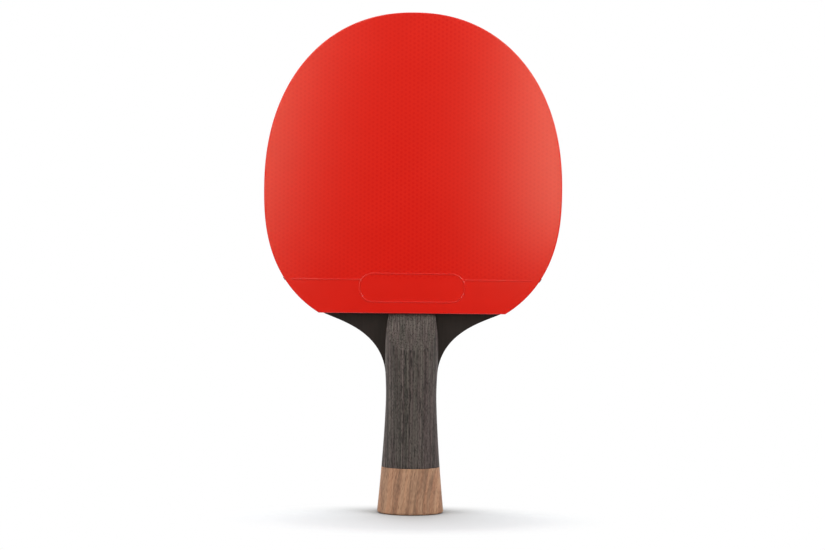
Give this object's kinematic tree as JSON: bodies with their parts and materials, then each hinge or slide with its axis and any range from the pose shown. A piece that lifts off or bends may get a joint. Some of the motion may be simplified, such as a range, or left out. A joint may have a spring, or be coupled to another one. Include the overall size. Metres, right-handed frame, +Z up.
{
  "type": "table tennis paddle",
  "caption": "Table tennis paddle with a laminated wooden blade, sponge rubber on both faces, red in front and black behind, and a flared two-tone wooden handle.",
  "frame": {"origin": "middle of the flat butt, at the lowest point of the standing paddle", "axes": "+Z up the handle to the tip of the head, -Y out of the front (red) face, +X to the right seen from the front"},
  "size_m": [0.151, 0.023, 0.254],
  "materials": {
    "red_rubber": "satin smooth rubber skin",
    "black_rubber": "satin smooth rubber skin",
    "sponge_foam": "matt open-pored sponge",
    "core_wood": "sanded light wood",
    "pale_wood": "sanded pale veneer",
    "fibre_weave": "dark woven fibre in resin",
    "black_stained_wood": "black stained veneer, satin",
    "grey_wood": "grey dyed wood, open grain, satin",
    "brown_wood": "brown wood, fine grain, satin"
  },
  "bodies": {
    "root": {"core_ply": "core_wood", "front_inner_ply": "pale_wood", "rear_inner_ply": "pale_wood", "front_fibre_ply": "fibre_weave", "rear_fibre_ply": "fibre_weave", "front_face_ply": "black_stained_wood", "rear_face_ply": "black_stained_wood", "front_sponge": "sponge_foam", "rear_sponge": "sponge_foam", "front_topsheet": "red_rubber", "rear_topsheet": "black_rubber", "front_handle_scale": "grey_wood", "rear_handle_scale": "grey_wood", "front_butt_block": "brown_wood", "rear_butt_block": "brown_wood"}
  },
  "joints": []
}
